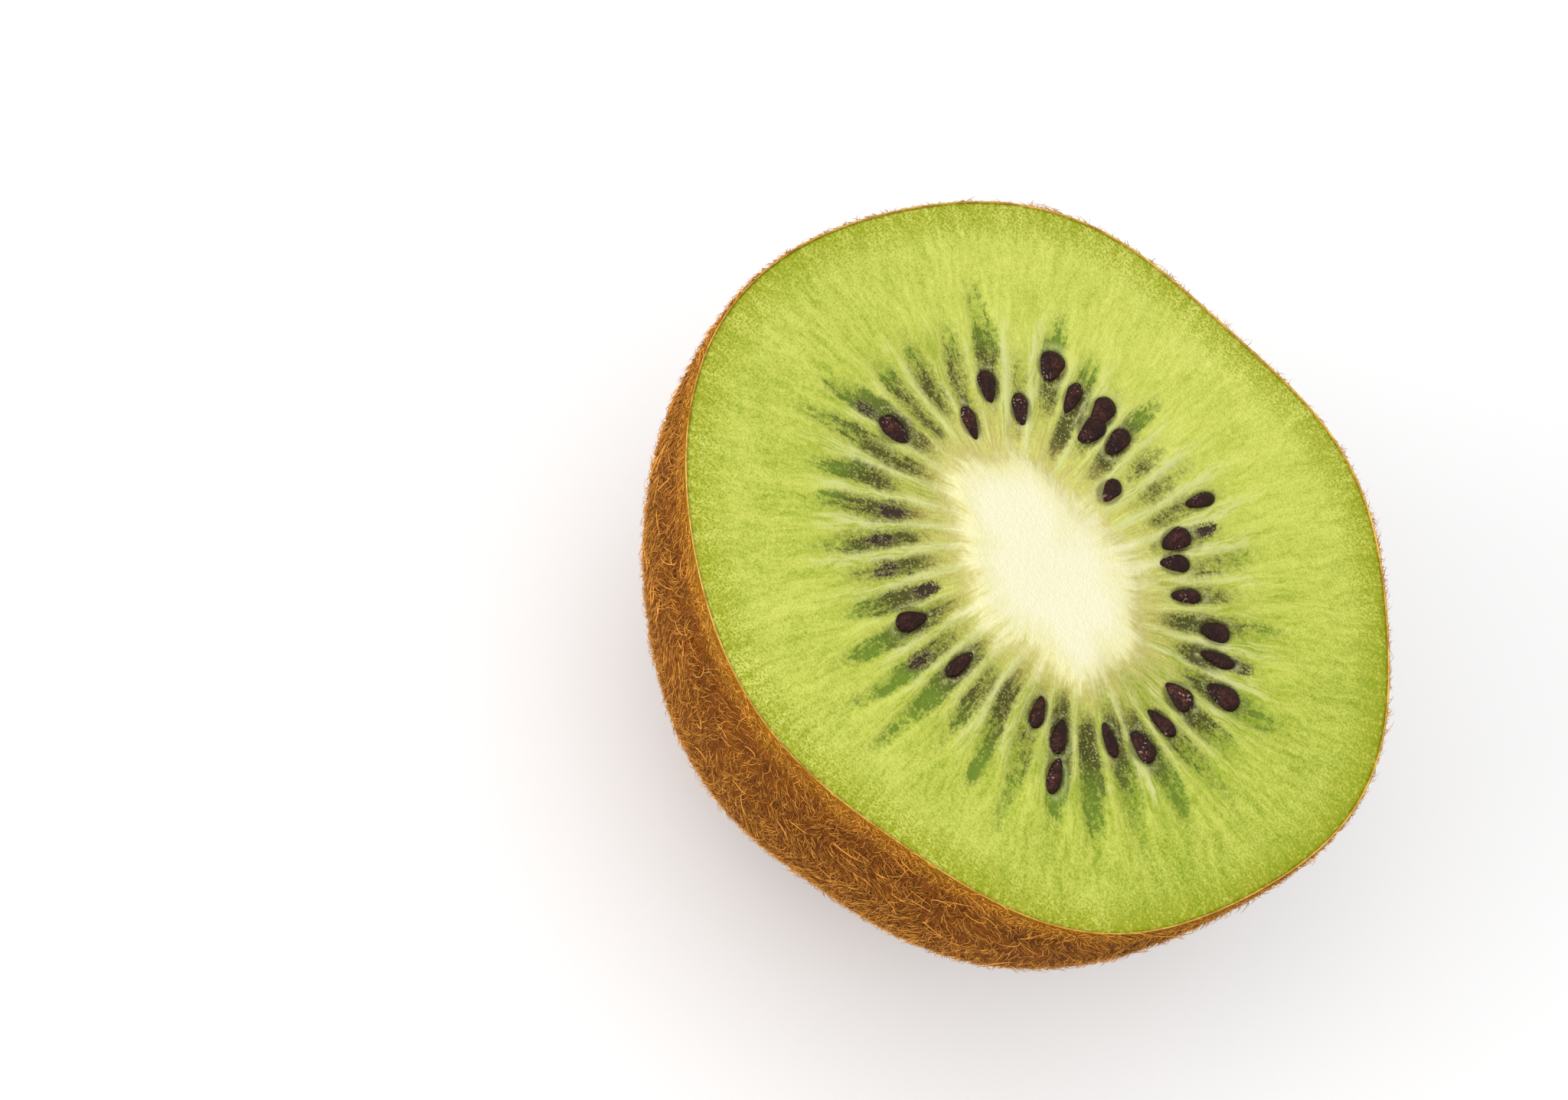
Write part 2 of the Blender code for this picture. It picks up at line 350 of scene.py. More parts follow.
def spin_sheet(rows, spokes):
    """Spin a line of points into a sheet whose points keep their row and spoke in two layers."""
    shape = bmesh.new()
    row_layer = shape.verts.layers.int.new("row")
    spoke_layer = shape.verts.layers.int.new("spoke")
    line = [shape.verts.new((row + 1.0, 0.0, 0.0)) for row in range(rows)]
    edges = [shape.edges.new(pair) for pair in zip(line[:-1], line[1:])]
    bmesh.ops.spin(
        shape, geom=line + edges, axis=(0.0, 0.0, 1.0), cent=(0.0, 0.0, 0.0), steps=spokes,
        angle=math.tau, use_merge=True,
    )
    for vertex in shape.verts:
        vertex[row_layer] = round(vertex.co.xy.length) - 1
        vertex[spoke_layer] = round(math.atan2(vertex.co.y, vertex.co.x) * spokes / math.tau) % spokes
    return shape


def set_sheet(shape, grid):
    """Move a spun sheet's points to a grid of places, close its poles and face it outwards."""
    row_layer = shape.verts.layers.int["row"]
    spoke_layer = shape.verts.layers.int["spoke"]
    for vertex in shape.verts:
        vertex.co = grid[vertex[row_layer]][vertex[spoke_layer]]
    bmesh.ops.remove_doubles(shape, verts=shape.verts, dist=1e-8)
    bmesh.ops.recalc_face_normals(shape, faces=shape.faces)
    for face in shape.faces:
        face.smooth = True


def attribute(mesh, name, values, kind="FLOAT"):
    """Store one value for each point of a mesh."""
    layer = mesh.attributes.new(name, kind, "POINT")
    key = "vector" if kind == "FLOAT_VECTOR" else "value"
    layer.data.foreach_set(key, np.asarray(values, np.float32).ravel())


def layer_values(mesh, name):
    """Read a whole-number layer of a mesh and remove it."""
    layer = mesh.attributes[name]
    values = np.zeros(len(mesh.vertices), np.int32)
    layer.data.foreach_get("value", values)
    mesh.attributes.remove(layer)
    return values


def add_piece(name, mesh, material):
    """Add a finished mesh to the scene as a piece that stands for the solid."""
    mesh.materials.append(material)
    piece = bpy.data.objects.new(name, mesh)
    bpy.context.scene.collection.objects.link(piece)
    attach(piece, BODY)
    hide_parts(NODE)
    return piece


def mesh_from(shape, name):
    """Turn a bmesh into a new mesh and free it."""
    mesh = bpy.data.meshes.new(name)
    shape.to_mesh(mesh)
    shape.free()
    return mesh


class Shader:
    """A material's node tree with short ways to add and join nodes."""

    def __init__(self, name):
        self.material = bpy.data.materials.new(name)
        self.material.use_nodes = True
        self.tree = self.material.node_tree
        self.principled = self.tree.nodes["Principled BSDF"]

    def node(self, kind, **settings):
        """Add a node and set its fields."""
        made = self.tree.nodes.new(kind)
        for field, value in settings.items():
            setattr(made, field, value)
        return made

    def feed(self, socket, value):
        """Join an output to a socket, or set the socket's own value."""
        if isinstance(value, bpy.types.NodeSocket):
            self.tree.links.new(value, socket)
        else:
            socket.default_value = value

    def attribute(self, name, vector=False):
        """Read a point attribute."""
        made = self.node("ShaderNodeAttribute", attribute_name=name)
        return made.outputs["Vector" if vector else "Fac"]

    def math(self, operation, *values, clamp=False):
        """Work out one number."""
        made = self.node("ShaderNodeMath", operation=operation, use_clamp=clamp)
        for socket, value in zip(made.inputs, values):
            self.feed(socket, value)
        return made.outputs[0]

    def times(self, first, second, clamp=False):
        """Multiply two numbers."""
        return self.math("MULTIPLY", first, second, clamp=clamp)

    def plus(self, total, *terms, clamp=False):
        """Add to a total each term, a pair of a value and the amount it is multiplied by."""
        for value, amount in terms[:-1]:
            total = self.math("MULTIPLY_ADD", value, amount, total)
        value, amount = terms[-1]
        return self.math("MULTIPLY_ADD", value, amount, total, clamp=clamp)

    def spread(self, value, low, high):
        """Rise smoothly from 0 at low to 1 at high."""
        made = self.node("ShaderNodeMapRange", interpolation_type="SMOOTHSTEP")
        self.feed(made.inputs["Value"], value)
        made.inputs["From Min"].default_value = low
        made.inputs["From Max"].default_value = high
        return made.outputs["Result"]

    def mapped(self, vector, scale):
        """Scale a vector along each axis."""
        made = self.node("ShaderNodeMapping")
        self.feed(made.inputs["Vector"], vector)
        made.inputs["Scale"].default_value = scale
        return made.outputs[0]

    def swayed(self, vector, place, scale, amount):
        """Bend a vector field softly from place to place."""
        wave = self.node("ShaderNodeTexNoise")
        self.feed(wave.inputs["Vector"], place)
        wave.inputs["Scale"].default_value = scale
        centred = self.node("ShaderNodeVectorMath", operation="SUBTRACT")
        self.feed(centred.inputs[0], wave.outputs["Color"])
        centred.inputs[1].default_value = (0.5, 0.5, 0.5)
        added = self.node("ShaderNodeVectorMath", operation="MULTIPLY_ADD")
        self.feed(added.inputs[0], centred.outputs[0])
        added.inputs[1].default_value = (amount, amount, amount)
        self.feed(added.inputs[2], vector)
        return added.outputs[0]

    def object_place(self):
        """Read the point's place in the piece."""
        return self.node("ShaderNodeTexCoord").outputs["Object"]

    def mottle(self, vector, scale, detail, low=0.0, high=1.0):
        """Place the mottle group, a noise stretched between two levels."""
        made = self.node("ShaderNodeGroup", node_tree=mottle_group())
        settings = {"Vector": vector, "Scale": scale, "Detail": detail, "Low": low, "High": high}
        for name, value in settings.items():
            self.feed(made.inputs[name], value)
        return made.outputs["Value"]

    def mix(self, factor, first, second):
        """Mix two colours."""
        made = self.node("ShaderNodeMix", data_type="RGBA", blend_type="MIX")
        for identifier, value in (("Factor_Float", factor), ("A_Color", first), ("B_Color", second)):
            socket = next(entry for entry in made.inputs if entry.identifier == identifier)
            self.feed(socket, value)
        return next(entry for entry in made.outputs if entry.identifier == "Result_Color")

    def ramp(self, factor, stops):
        """Turn a number into a colour by stops of (place, colour)."""
        made = self.node("ShaderNodeValToRGB")
        made.color_ramp.interpolation = "LINEAR"
        elements = made.color_ramp.elements
        while len(elements) < len(stops):
            elements.new(0.5)
        for element, (place, _) in zip(elements, stops):
            element.position = place
        for element, (_, tint) in zip(elements, stops):
            element.color = tint
        self.feed(made.inputs["Fac"], factor)
        return made.outputs["Color"]

    def bump(self, height, strength, distance):
        """Turn a height into a normal."""
        made = self.node("ShaderNodeBump")
        made.inputs["Strength"].default_value = strength
        made.inputs["Distance"].default_value = distance
        self.feed(made.inputs["Height"], height)
        return made.outputs["Normal"]

    def set(self, **values):
        """Feed the Principled shader's sockets; an underscore stands for a space."""
        for name, value in values.items():
            self.feed(self.principled.inputs[name.replace("_", " ")], value)


def mottle_group():
    """Build once the group that stretches a noise between two levels."""
    if "mottle" in bpy.data.node_groups:
        return bpy.data.node_groups["mottle"]
    group = bpy.data.node_groups.new("mottle", "ShaderNodeTree")
    group.interface.new_socket("Vector", in_out="INPUT", socket_type="NodeSocketVector")
    for name in ("Scale", "Detail", "Low", "High"):
        group.interface.new_socket(name, in_out="INPUT", socket_type="NodeSocketFloat")
    group.interface.new_socket("Value", in_out="OUTPUT", socket_type="NodeSocketFloat")
    entry = group.nodes.new("NodeGroupInput")
    leave = group.nodes.new("NodeGroupOutput")
    grain = group.nodes.new("ShaderNodeTexNoise")
    stretch = group.nodes.new("ShaderNodeMapRange")
    stretch.clamp = True
    stretch.inputs["From Min"].default_value = 0.3
    stretch.inputs["From Max"].default_value = 0.7
    for name in ("Vector", "Scale", "Detail"):
        group.links.new(entry.outputs[name], grain.inputs[name])
    group.links.new(grain.outputs["Fac"], stretch.inputs["Value"])
    group.links.new(entry.outputs["Low"], stretch.inputs["To Min"])
    group.links.new(entry.outputs["High"], stretch.inputs["To Max"])
    group.links.new(stretch.outputs["Result"], leave.inputs["Value"])
    return group


class FleshShader(Shader):
    """The flesh's node tree, with the fields and noises that its layers of colour share."""

    def __init__(self, tints):
        super().__init__("kiwi flesh")
        self.tints = tints
        self.part = self.attribute("part")
        self.gap = self.attribute("core_gap")
        self.chamber = self.attribute("chamber")
        self.ray = self.attribute("ray")
        self.place = self.object_place()
        self.flow = self.swayed(self.attribute("flow", vector=True), self.place, 420.0, 0.06)
        self.band = self.fibres(19.0, 3.5, 2.0)
        self.thread = self.fibres(105.0, 11.0, 1.0)
        self.strands = self.plus(self.fibres(46.0, 6.0, 2.0), (self.band, 0.8), (self.thread, 0.5))
        self.grain = self.mottle(self.place, 2500.0, 2.0, -0.5, 0.5)
        self.fleck = self.mottle(self.place, 6500.0, 1.0, -0.5, 0.5)
        self.cloud = self.mottle(self.place, 260.0, 2.0, -0.5, 0.5)
        self.body = self.spread(self.gap, -0.6, 1.4)
        self.tail = self.spread(self.part, 0.28, 0.5)

    def fibres(self, across, along, detail):
        """Draw a noise that is stretched from the core to the skin."""
        return self.mottle(self.mapped(self.flow, (across, across, along)), 1.0, detail, -0.5, 0.5)

    def lightness(self, near_skin):
        """Work out how light the flesh is by its fibres and its grain, with painted light towards +Y,
        painted shade towards +X, and lighter flesh at both ends along Y.
        """
        far = self.spread(self.part, 0.42, 0.75)
        light = self.plus(self.strands, (self.band, self.times(far, -0.35)))
        light = self.times(light, self.plus(0.62, (far, -0.14)))
        sides = self.node("ShaderNodeSeparateXYZ")
        self.feed(sides.inputs[0], self.flow)
        along_x, along_y = sides.outputs["X"], sides.outputs["Y"]
        # Painted light and shade: lighter towards +Y and darker towards +X, turning slightly the other
        # way by the skin; the ends term makes both ends along Y lighter.
        painted_lit_side = self.times(along_y, self.plus(1.0, (near_skin, -1.2)))
        ends = self.plus(-0.5, (along_y, along_y))
        light = self.plus(
            light, (painted_lit_side, 0.14), (along_x, -0.12), (ends, 0.3),
            (self.grain, self.plus(-0.22, (far, -0.16))),
            (self.fleck, self.plus(-0.3, (far, -0.4))),
            (self.cloud, 0.22),
        )
        return self.times(light, self.body)

    def ground(self):
        """Run the colours from the core to the skin, with grain all over and dots near the skin."""
        tints = self.tints
        base = self.ramp(self.part, (
            (0.0, tints.inner),
            (0.18, tints.middle),
            (0.55, tints.outer),
            (0.84, tints.outer),
            (1.0, tints.rim),
        ))
        near_skin = self.spread(self.part, 0.80, 0.99)
        light = self.lightness(near_skin)
        base = self.mix(self.times(light, 1.1, clamp=True), base, tints.grain_light)
        base = self.mix(self.times(light, -1.1, clamp=True), base, tints.grain_dark)
        specks = self.times(self.spread(self.fleck, 0.0, 0.4), near_skin)
        base = self.mix(self.times(specks, 0.85), base, tints.grain_dark)
        dots = self.times(self.spread(self.mottle(self.place, 3600.0, 1.0), 0.6, 1.0), near_skin)
        return self.mix(self.times(dots, 0.4), base, tints.grain_light)

    def rays(self, base):
        """Lay the pale walls between the chambers over the flesh."""
        pale = self.plus(-0.14, (self.ray, 0.85), (self.strands, 0.6), (self.thread, 0.5), clamp=True)
        return self.mix(self.times(pale, self.spread(self.ray, 0.0, 0.6)), base, self.tints.ray)

    def chambers(self, base):
        """Lay the ragged dark chambers with their streaky tails over the flesh."""
        shade = self.ramp(self.plus(self.part, (self.cloud, 0.14)), (
            (0.08, self.tints.chamber_inner),
            (0.20, self.tints.chamber_middle),
            (0.34, self.tints.chamber_middle),
            (0.52, self.tints.chamber_outer),
        ))
        ragged = self.plus(
            -0.14, (self.chamber, 1.45), (self.strands, 0.6),
            (self.grain, self.plus(0.45, (self.tail, -0.2))),
            (self.fleck, self.plus(0.35, (self.tail, -0.2))),
            (self.cloud, 0.5), clamp=True,
        )
        ragged = self.times(ragged, self.spread(self.chamber, 0.0, 0.5))
        streak = self.plus(
            -0.1, (self.grain, 0.7), (self.strands, 0.6), (self.fleck, 0.4), (self.cloud, 0.6),
        )
        ragged = self.times(ragged, self.plus(1.0, (streak, self.tail)), clamp=True)
        return self.mix(self.times(ragged, 0.92), base, shade)

    def painted_glints(self, base):
        """Scatter tiny painted highlights, wet glints painted as pale specks, most of them in the
        chambers.
        """
        # Painted highlight: sparse pale specks in place of wet glints.
        painted_glint_mask = self.spread(self.mottle(self.place, 6400.0, 0.0), 0.84, 1.04)
        gritty = self.times(self.chamber, self.plus(0.42, (self.tail, -0.32)))
        painted_glint_mask = self.times(painted_glint_mask, self.math("ADD", gritty, 0.05))
        return self.mix(painted_glint_mask, base, self.tints.painted_glint)

    def sunk_seeds(self, base):
        """Show the seeds that lie almost under the flesh as gritty dark spots."""
        sunk = self.attribute("sunk")
        under = self.plus(-0.1, (sunk, 1.3), (self.strands, 0.5), (self.fleck, 0.9), clamp=True)
        under = self.times(under, self.spread(sunk, 0.0, 0.4))
        base = self.mix(self.times(under, 0.85), base, self.tints.sunk)
        deep = self.plus(sunk, (self.strands, 0.6), (self.grain, 0.5), (self.fleck, 0.8))
        deep = self.times(self.spread(deep, 0.5, 1.05), self.spread(sunk, 0.2, 0.6))
        return self.mix(self.times(deep, 0.9), base, self.tints.sunk_deep)

    def seed_edges(self, base):
        """Draw the painted shade round the proud seeds, and the pale film beyond it, a membrane with a
        painted wet highlight.
        """
        base = self.mix(self.attribute("painted_seed_shade"), base, self.tints.painted_seed_shade)
        # Pale film round the seeds in the ray colour: a membrane with a painted wet highlight.
        film = self.plus(0.25, (self.band, 1.4), (self.grain, 1.2), clamp=True)
        return self.mix(self.times(film, self.attribute("film")), base, self.tints.ray)

    def heart(self, base):
        """Lay the pale core, whose edge is feathered along the fibres, into the flesh."""
        outside_core = self.times(self.strands, self.spread(self.part, -0.4, 0.04))
        feather = self.plus(
            self.gap, (self.cloud, 2.0), (self.grain, 0.6), (outside_core, 1.3), (self.ray, -1.1),
        )
        core = self.ramp(self.spread(feather, -4.0, 0.4), (
            (0.0, self.tints.core),
            (1.0, self.tints.core_edge),
        ))
        return self.mix(self.spread(feather, -1.1, 1.4), core, base)

    def surface(self, base):
        """Give the surface its colour, relief and moisture."""
        height = self.times(self.strands, self.times(self.body, 0.4))
        height = self.plus(height, (self.grain, 0.6), (self.fleck, 0.6))
        self.set(
            Base_Color=base, Roughness=self.plus(0.40, (self.grain, 0.2)),
            Normal=self.bump(height, 0.4, 0.07 * MM), Specular_IOR_Level=0.14,
            Subsurface_Weight=0.15, Subsurface_Radius=(0.7, 0.9, 0.3), Subsurface_Scale=0.4 * MM,
        )


def flesh_material(tints):
    """Moist flesh: rays, chambers, painted wet glints, seeds' edges with their painted shade, and core
    over a run of colours from core to skin.
    """
    shader = FleshShader(tints)
    base = shader.ground()
    layers = (
        shader.rays, shader.chambers, shader.painted_glints, shader.sunk_seeds, shader.seed_edges, shader.heart,
    )
    for layer in layers:
        base = layer(base)
    shader.surface(base)
    return shader.material


def skin_material(tints):
    """Matt brown skin with a light cut edge."""
    shader = Shader("kiwi skin")
    place = shader.object_place()
    patch = shader.mottle(place, 420.0, 3.0)
    pore = shader.mottle(place, 2600.0, 2.0)
    tint = shader.mix(shader.times(patch, 0.8), tints.skin, tints.skin_light)
    tint = shader.mix(shader.times(pore, 0.45), tint, tints.scar)
    edge = shader.attribute("edge")
    tint = shader.mix(shader.times(edge, 0.9), tint, tints.skin_rim)
    green = shader.times(shader.spread(patch, 0.45, 0.8), shader.spread(edge, 0.05, 0.5))
    tint = shader.mix(shader.times(green, 0.3), tint, tints.skin_green)
    broken = shader.plus(0.25, (patch, 0.8), clamp=True)
    broken = shader.times(broken, shader.plus(0.6, (pore, 0.9)), clamp=True)
    worn = shader.times(shader.spread(edge, 0.72, 0.9), broken)
    tint = shader.mix(worn, tint, tints.skin_edge)
    normal = shader.bump(pore, 0.5, 0.1 * MM)
    rough = shader.plus(0.75, (pore, 0.15))
    shader.set(Base_Color=tint, Roughness=rough, Normal=normal, Specular_IOR_Level=0.05)
    return shader.material


def hair_material(name, tints, dark, light, tip):
    """Brown hair that lightens from root to tip, each hair with its own shade."""
    shader = Shader(name)
    tone = shader.attribute("tone")
    reach = shader.attribute("reach")
    mixed = shader.plus(dark, (tone, light - dark))
    mixed = shader.times(mixed, shader.plus(0.7, (reach, 0.5)), clamp=True)
    tint = shader.mix(mixed, tints.hair_dark, getattr(tints, tip))
    shader.set(Base_Color=tint, Roughness=0.65, Specular_IOR_Level=0.05)
    return shader.material


def seed_material(tints):
    """Dark glossy seed coat with fine pits and a red brown glow, the red brown kept to each seed's top
    as a painted highlight with painted shade at its edges, and painted wet glints.
    """
    shader = Shader("kiwi seed")
    place = shader.object_place()
    pits = shader.node("ShaderNodeTexVoronoi")
    pits.inputs["Scale"].default_value = 5200.0
    shader.feed(pits.inputs["Vector"], place)
    lump = shader.mottle(place, 4200.0, 2.0)
    crown = shader.attribute("crown")
    # Painted highlight: the red brown is kept to the seed's top by its crown, so the edges stay dark as
    # painted shade.
    glow = shader.plus(-0.25, (lump, 1.3))
    glow = shader.times(glow, shader.mottle(place, 900.0, 1.0, low=-0.1), clamp=True)
    glow = shader.times(glow, shader.spread(crown, 0.35, 0.95))
    tint = shader.mix(glow, tints.seed, tints.seed_red_and_highlight)
    # Painted highlight: sparse pale specks in place of wet glints on the seed.
    painted_glint = shader.spread(shader.mottle(place, 5600.0, 0.0), 0.95, 1.0)
    painted_glint = shader.times(painted_glint, shader.mottle(place, 700.0, 0.0, -0.7, 0.45), clamp=True)
    tint = shader.mix(painted_glint, tint, tints.seed_painted_glint)
    height = shader.plus(lump, (pits.outputs["Distance"], 0.6))
    normal = shader.bump(height, 1.0, 0.10 * MM)
    rough = shader.mottle(place, 3000.0, 1.0, 0.22, 0.42)
    shader.set(
        Base_Color=tint, Roughness=rough, Normal=normal, Specular_IOR_Level=0.18, Coat_Weight=0.05,
        Coat_Roughness=0.15,
    )
    return shader.material


def scar_material(tints):
    """Dry fibrous scar."""
    shader = Shader("kiwi scar")
    place = shader.object_place()
    streak = shader.mottle(place, 2200.0, 4.0)
    tint = shader.mix(streak, tints.scar, tints.scar_light)
    normal = shader.bump(streak, 0.7, 0.15 * MM)
    shader.set(Base_Color=tint, Roughness=shader.plus(0.8, (streak, 0.1)), Normal=normal)
    return shader.material


# Rows of the flesh over the core, over the rest of the face and down its side; spokes to a chamber.
CORE_ROWS = 24
FLESH_ROWS = 84
INNER_ROWS = 14
FACE_SPOKES = 16
# Angle under the rim at which the flesh's side starts, and scale of the noise that the face follows.
SIDE_START = 0.03
FACE_NOISE = 260.0


def seed_spots(sunk):
    """List the chamber and the share of the way out of the seeds, proud ones or sunk ones."""
    spots = [
        (chamber, place_out)
        for chamber, place_out in enumerate(SEED_PLACES)
        if place_out and (chamber in SUNK_CHAMBERS) == sunk
    ]
    return spots + list((SUNK_SECONDS if sunk else SECOND_SEEDS).items())


def chamber_masks(fruit, number, part):
    """Work out how much each point of the face lies in a chamber and in a pale ray."""
    count = fruit.chambers.count
    draw = random.Random(fruit.chambers.draw)
    starts = np.array([draw.uniform(-0.06, 0.12) for _ in range(count)])
    ends = np.array([draw.uniform(0.56, 0.84) for _ in range(count)])
    depths = np.array([draw.uniform(0.55, 1.05) for _ in range(count)])
    drifts = np.array([draw.uniform(-0.12, 0.12) for _ in range(count)])
    brights = np.array([draw.uniform(0.35, 1.0) for _ in range(count)])
    ends -= 0.06 * np.sin(math.tau * np.arange(count) / count)
    nearest = np.rint(number).astype(int)
    chamber = nearest % count
    offset = number - nearest - drifts[chamber] * np.sin(part * 9.0)
    width = 0.45 - 0.26 * smooth(0.25, 0.75, part)
    across = 1.0 - smooth(0.15 * width, 1.45 * width, np.abs(offset))
    begin, finish = starts[chamber], ends[chamber]
    lengthwise = smooth(begin, begin + 0.22, part) * (1.0 - smooth(finish - 0.36, finish + 0.02, part))
    dark = across * lengthwise * depths[chamber]
    wall = np.floor(number).astype(int) % count
    gap = np.abs(number - np.floor(number) - 0.5 - drifts[wall] * 0.5 * np.sin(part * 7.0))
    fade = (0.5 + 0.5 * smooth(0.0, 0.12, part)) * (1.0 - smooth(0.30, 0.72, part))
    pale = (1.0 - smooth(0.04, 0.40, gap)) * fade * brights[wall]
    return dark, pale


def core_gap(fruit, angle, part):
    """Work out how far in millimetres each point lies outside the core's uneven edge."""
    edge = fruit.core(angle, 1.0)
    inside = np.linalg.norm(edge - fruit.core(angle, 0.0), axis=-1)
    outside = np.linalg.norm(fruit.rim(angle) - edge, axis=-1)
    swell = sum(
        height * np.cos(count * (angle - math.radians(direction)))
        for count, height, direction in CORE_WAVES
    )
    return np.where(part < 0.0, part * inside, part * outside) / MM - swell


def seed_spot(fruit, chamber, place_out):
    """Give a seed's place on the face and the direction outwards there."""
    angle = fruit.chamber_turn(chamber)
    axis = fruit.rim(angle) - fruit.core(angle, 1.0)
    axis = axis / np.linalg.norm(axis)
    sideways = np.array((-axis[1], axis[0]))
    return fruit.face(angle, place_out / 100.0) + sideways * SEED_SHIFTS.get(chamber, 0.0) * MM, axis


def seed_distance(fruit, seeds, places, sunk):
    """Work out how far each place lies from the nearest seed, in half lengths of the seed."""
    nearest = np.full(len(places), np.inf)
    for chamber, place_out in seed_spots(sunk):
        spot, axis = seed_spot(fruit, chamber, place_out)
        offset = places - spot
        slim = SUNK_WIDTH_SHARE if sunk else SEED_WIDTH_SHARES.get(chamber, 1.0)
        along = offset @ axis / (seeds.seed_length / 2.0)
        across = offset @ np.array((-axis[1], axis[0])) / (seeds.seed_width * slim / 2.0)
        nearest = np.minimum(nearest, np.hypot(along, across))
    return nearest


def seed_masks(fruit, seeds, places):
    """Work out the painted shade line and the pale film round the proud seeds, the film partly membrane
    and partly painted wet highlight, and the grey of the sunk ones.
    """
    proud = seed_distance(fruit, seeds, places, False)
    # Painted shade: a dark line round each proud seed, where it stands out of its recess.
    painted_seed_shade = 0.6 * (1.0 - smooth(0.85, 1.08, proud))
    # The pale film: partly a real membrane round the seed, partly a painted wet highlight on its rim.
    film = 0.5 * smooth(0.98, 1.12, proud) * (1.0 - smooth(1.15, 1.6, proud))
    sunk = 1.0 - smooth(0.2, 1.4, seed_distance(fruit, seeds, places, True))
    return painted_seed_shade, film, sunk


def build_flesh(scene):
    """Model the flesh as one closed body: the cut face with its relief, and the side under the skin."""
    fruit = Fruit(scene)
    form = scene.kiwi_form
    spokes = FACE_SPOKES * fruit.chambers.count
    number = np.arange(spokes) / FACE_SPOKES
    angle = fruit.chamber_turn(number)
    inset = form.skin_thickness / form.face_radius

    parts = np.concatenate((
        np.linspace(-1.0, 0.0, CORE_ROWS, endpoint=False),
        np.linspace(0.0, 1.0, FLESH_ROWS),
    ))
    side_angles = np.linspace(SIDE_START, fruit.foot_angle(), INNER_ROWS)
    rows = len(parts) + INNER_ROWS + 1
    grid = np.zeros((rows, spokes, 3))
    for row, part in enumerate(parts):
        pulled = 1.0 - inset * max(part, 0.0) ** 3
        grid[row, :, :2] = fruit.face(angle, part) * pulled
        grid[row, :, 2] = FACE_HEIGHT
    for row, side_angle in enumerate(side_angles):
        share_out, height = fruit.dome_row(side_angle)
        line = fruit.dome(angle, np.full(spokes, share_out), height)
        hidden = 0.4 * MM * smooth(SIDE_START, 0.25, side_angle)
        line[:, :2] *= 1.0 - inset - hidden / form.face_radius
        line[:, 2] = np.maximum(line[:, 2] + hidden, form.dimple_depth + form.skin_thickness)
        grid[len(parts) + row] = line
    grid[-1, :, 2] = grid[-2, 0, 2]

    all_parts = np.concatenate((parts, np.full(INNER_ROWS + 1, 1.0)))
    part_grid = np.broadcast_to(all_parts[:, None], (rows, spokes))
    number_grid = np.broadcast_to(number[None, :], (rows, spokes))
    waver = field(grid, FACE_NOISE)
    dark, pale = chamber_masks(fruit, number_grid + 0.12 * waver, part_grid)
    top = np.arange(rows)[:, None] < len(parts)
    masks = seed_masks(fruit, scene.kiwi_seeds, grid[..., :2].reshape(-1, 2))
    core_gaps = core_gap(fruit, np.broadcast_to(angle, (rows, spokes)), part_grid)
    rise = form.core_rise * (1.0 - smooth(-1.0, 0.6, core_gaps))
    rounding = 0.08 * MM * smooth(0.97, 1.0, part_grid)
    rolling = 0.05 * MM * waver * (1.0 - smooth(0.9, 1.0, part_grid))
    relief = rise - fruit.chambers.depth * dark - rounding + rolling
    grid[..., 2] += np.where(top, relief, 0.0)

    shape = spin_sheet(rows, spokes)
    set_sheet(shape, grid)
    mesh = mesh_from(shape, "flesh")
    row, spoke = layer_values(mesh, "row"), layer_values(mesh, "spoke")
    even = math.tau * number_grid / fruit.chambers.count
    flow = np.stack((np.cos(even), np.sin(even), part_grid), axis=-1)
    attribute(mesh, "part", part_grid[row, spoke])
    attribute(mesh, "core_gap", core_gaps[row, spoke])
    attribute(mesh, "flow", flow[row, spoke], "FLOAT_VECTOR")
    attribute(mesh, "chamber", dark[row, spoke])
    attribute(mesh, "ray", pale[row, spoke])
    # Masks of the painted shade round the seeds, the pale film with its painted highlight, and the sunk
    # seeds.
    for mask_name, mask in zip(("painted_seed_shade", "film", "sunk"), masks):
        attribute(mesh, mask_name, mask.reshape(rows, spokes)[row, spoke])
    return add_piece("flesh", mesh, flesh_material(scene.kiwi_colours))


# Spokes of the skin, twelve to a chamber, and its rows from the rim to the foot.
SKIN_SPOKES = 444
SKIN_ROWS = 96


def skin_bumps(points):
    """Work out how far the skin rises and falls at points, as long soft lumps and small grains."""
    return 0.10 * MM * field(points, 130.0) + 0.05 * MM * field(points, 900.0)


